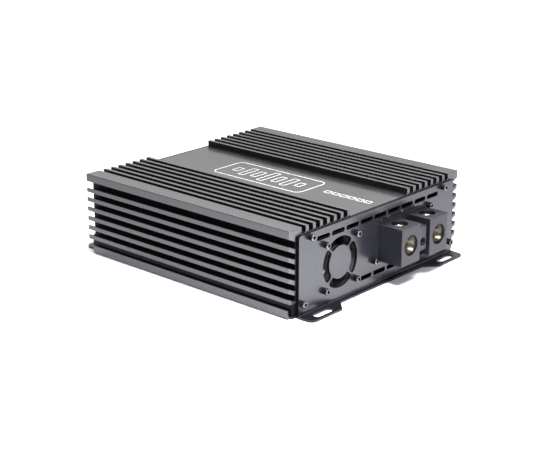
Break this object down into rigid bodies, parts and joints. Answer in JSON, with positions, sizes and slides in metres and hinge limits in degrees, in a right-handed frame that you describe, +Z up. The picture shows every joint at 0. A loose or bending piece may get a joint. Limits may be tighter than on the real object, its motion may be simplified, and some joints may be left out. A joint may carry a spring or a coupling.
{
  "type": "car amplifier",
  "caption": "Finned black heatsink case with slotted feet, a guarded cooling fan and block power terminals at one end, and input jacks, knobs and speaker terminal at the other.",
  "frame": {"origin": "centre of the outline seen from above, on the plane of the feet's undersides", "axes": "+X along the case towards the fan and power terminals, +Z up"},
  "size_m": [0.2864, 0.232, 0.076],
  "materials": {
    "anodised_aluminium": "black anodised, brushed along the length, satin",
    "end_plate_black": "satin black, fine texture",
    "black_steel_screw": "black oxide, worn bright on the rims",
    "terminal_black": "dark anodised block with a bare machined bore",
    "bright_steel": "nickel-plated, bright",
    "gold_plate": "gold-plated brass, polished",
    "copper": "bare copper, satin",
    "black_plastic": "moulded black plastic, fine grain",
    "fan_plastic": "glass-filled black plastic",
    "circuit_board": "green solder mask over glass fibre",
    "capacitor_sleeve": "dark shrink sleeve over an aluminium can",
    "wound_core": "enamelled copper winding on a ring core",
    "transistor_body": "black moulding compound",
    "light_lens": "tinted clear lens"
  },
  "bodies": {
    "chassis": {"bottom_cover": "anodised_aluminium", "fan_frame": "fan_plastic", "fan_screw_1": "black_steel_screw", "fan_screw_2": "black_steel_screw", "fan_screw_3": "black_steel_screw", "fan_screw_4": "black_steel_screw", "fan_stator": "copper", "heatsink": "anodised_aluminium", "input_capacitor_1": "capacitor_sleeve", "input_capacitor_2": "capacitor_sleeve", "input_capacitor_3": "capacitor_sleeve", "input_jack_1": "gold_plate", "input_jack_2": "gold_plate", "main_board": "circuit_board", "negative_busbar": "copper", "negative_power_terminal": "terminal_black", "output_inductor": "wound_core", "positive_busbar": "copper", "positive_power_terminal": "terminal_black", "power_end_plate": "end_plate_black", "power_plate_screw_1": "black_steel_screw", "power_plate_screw_2": "black_steel_screw", "power_plate_screw_3": "black_steel_screw", "power_plate_screw_4": "black_steel_screw", "power_transformer_1": "wound_core", "power_transformer_2": "wound_core", "power_transistor_1": "transistor_body", "power_transistor_2": "transistor_body", "power_transistor_3": "transistor_body", "power_transistor_4": "transistor_body", "power_transistor_5": "transistor_body", "power_transistor_6": "transistor_body", "rail_capacitor_1": "capacitor_sleeve", "rail_capacitor_2": "capacitor_sleeve", "remote_level_port": "black_plastic", "remote_terminal": "terminal_black", "signal_board": "circuit_board", "signal_end_plate": "end_plate_black", "signal_plate_screw_1": "black_steel_screw", "signal_plate_screw_2": "black_steel_screw", "signal_plate_screw_3": "black_steel_screw", "signal_plate_screw_4": "black_steel_screw", "speaker_terminal": "black_plastic", "status_light": "light_lens", "terminal_base_screw_1": "black_steel_screw", "terminal_base_screw_2": "black_steel_screw", "terminal_insulator": "black_plastic", "transistor_clamp_1": "bright_steel", "transistor_clamp_2": "bright_steel"},
    "fan_rotor": {"fan_rotor": "fan_plastic"},
    "negative_set_screw": {"negative_set_screw": "bright_steel"},
    "positive_set_screw": {"positive_set_screw": "bright_steel"},
    "remote_set_screw": {"remote_set_screw": "bright_steel"},
    "gain_knob": {"gain_knob": "black_plastic"},
    "low_pass_knob": {"low_pass_knob": "black_plastic"},
    "subsonic_knob": {"subsonic_knob": "black_plastic"},
    "bass_boost_knob": {"bass_boost_knob": "black_plastic"},
    "phase_switch_slider": {"phase_switch_slider": "black_plastic"},
    "speaker_clamp_screw_1": {"speaker_clamp_screw_1": "bright_steel"},
    "speaker_clamp_screw_2": {"speaker_clamp_screw_2": "bright_steel"}
  },
  "joints": [
    {"name": "fan_spin", "type": "hinge", "parent": "chassis", "child": "fan_rotor", "pos_m": [0.1078, -0.0545, 0.035], "axis": [1, 0, 0], "continuous": true},
    {"name": "negative_set_screw_travel", "type": "slide", "parent": "chassis", "child": "negative_set_screw", "axis": [0, 0, 1], "range_m": [-0.0045, 0.0026]},
    {"name": "positive_set_screw_travel", "type": "slide", "parent": "chassis", "child": "positive_set_screw", "axis": [0, 0, 1], "range_m": [-0.0045, 0.0026]},
    {"name": "remote_set_screw_travel", "type": "slide", "parent": "chassis", "child": "remote_set_screw", "axis": [0, 0, 1], "range_m": [-0.0035, 0.001]},
    {"name": "gain_turn", "type": "hinge", "parent": "chassis", "child": "gain_knob", "pos_m": [-0.1262, 0.028, 0.04], "axis": [-1, 0, 0], "range_deg": [-140, 140]},
    {"name": "low_pass_turn", "type": "hinge", "parent": "chassis", "child": "low_pass_knob", "pos_m": [-0.1262, 0.01, 0.04], "axis": [-1, 0, 0], "range_deg": [-140, 140]},
    {"name": "subsonic_turn", "type": "hinge", "parent": "chassis", "child": "subsonic_knob", "pos_m": [-0.1262, -0.008, 0.04], "axis": [-1, 0, 0], "range_deg": [-140, 140]},
    {"name": "bass_boost_turn", "type": "hinge", "parent": "chassis", "child": "bass_boost_knob", "pos_m": [-0.1262, -0.026, 0.04], "axis": [-1, 0, 0], "range_deg": [-140, 140]},
    {"name": "phase_switch_slide", "type": "slide", "parent": "chassis", "child": "phase_switch_slider", "axis": [0, 1, 0], "range_m": [0, 0.004]},
    {"name": "speaker_clamp_screw_1_travel", "type": "slide", "parent": "chassis", "child": "speaker_clamp_screw_1", "axis": [0, 0, 1], "range_m": [-0.006, 0.0012]},
    {"name": "speaker_clamp_screw_2_travel", "type": "slide", "parent": "chassis", "child": "speaker_clamp_screw_2", "axis": [0, 0, 1], "range_m": [-0.006, 0.0012]}
  ]
}
